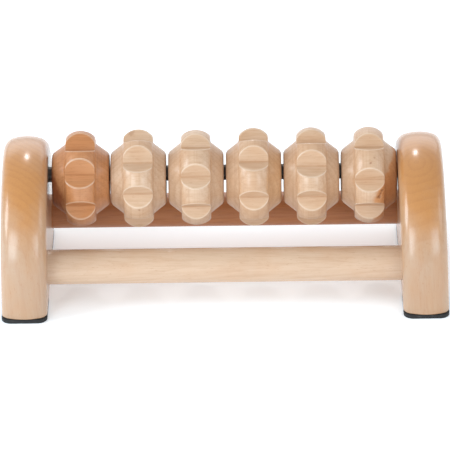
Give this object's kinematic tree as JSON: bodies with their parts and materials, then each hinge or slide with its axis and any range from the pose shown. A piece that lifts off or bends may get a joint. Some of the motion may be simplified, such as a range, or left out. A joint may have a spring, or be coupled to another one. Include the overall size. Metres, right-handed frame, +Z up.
{
  "type": "foot massage roller",
  "caption": "Wooden foot massage roller: notched wooden rollers turn freely on a steel rod between two arched end boards joined by round dowels, standing on rubber pads.",
  "frame": {"origin": "centre of the footprint, on the surface that the pads stand on", "axes": "+X along the rod to the right end board, -Y to the front, +Z up"},
  "size_m": [0.23, 0.11, 0.0809],
  "materials": {
    "panel_wood": "clear gloss lacquer over warm beech",
    "dowel_wood": "clear satin lacquer over pale beech",
    "roller_wood": "turned and milled beech under a thin clear lacquer",
    "rod_steel": "dark drawn steel",
    "pad_rubber": "matt black rubber"
  },
  "bodies": {
    "frame": {"left_end_panel": "panel_wood", "right_end_panel": "panel_wood", "front_dowel": "dowel_wood", "rear_dowel": "dowel_wood", "axle_rod": "rod_steel", "left_front_pad": "pad_rubber", "left_rear_pad": "pad_rubber", "right_front_pad": "pad_rubber", "right_rear_pad": "pad_rubber"},
    "roller_1": {"roller_1": "roller_wood"},
    "roller_2": {"roller_2": "roller_wood"},
    "roller_3": {"roller_3": "roller_wood"},
    "roller_4": {"roller_4": "roller_wood"},
    "roller_5": {"roller_5": "roller_wood"},
    "roller_6": {"roller_6": "roller_wood"}
  },
  "joints": [
    {"name": "roller_1_turn", "type": "hinge", "parent": "frame", "child": "roller_1", "pos_m": [-0.07397, 0, 0.0555], "axis": [1, 0, 0], "continuous": true},
    {"name": "roller_2_turn", "type": "hinge", "parent": "frame", "child": "roller_2", "pos_m": [-0.04417, 0, 0.0555], "axis": [1, 0, 0], "continuous": true},
    {"name": "roller_3_turn", "type": "hinge", "parent": "frame", "child": "roller_3", "pos_m": [-0.01437, 0, 0.0555], "axis": [1, 0, 0], "continuous": true},
    {"name": "roller_4_turn", "type": "hinge", "parent": "frame", "child": "roller_4", "pos_m": [0.01543, 0, 0.0555], "axis": [1, 0, 0], "continuous": true},
    {"name": "roller_5_turn", "type": "hinge", "parent": "frame", "child": "roller_5", "pos_m": [0.04523, 0, 0.0555], "axis": [1, 0, 0], "continuous": true},
    {"name": "roller_6_turn", "type": "hinge", "parent": "frame", "child": "roller_6", "pos_m": [0.07503, 0, 0.0555], "axis": [1, 0, 0], "continuous": true}
  ]
}
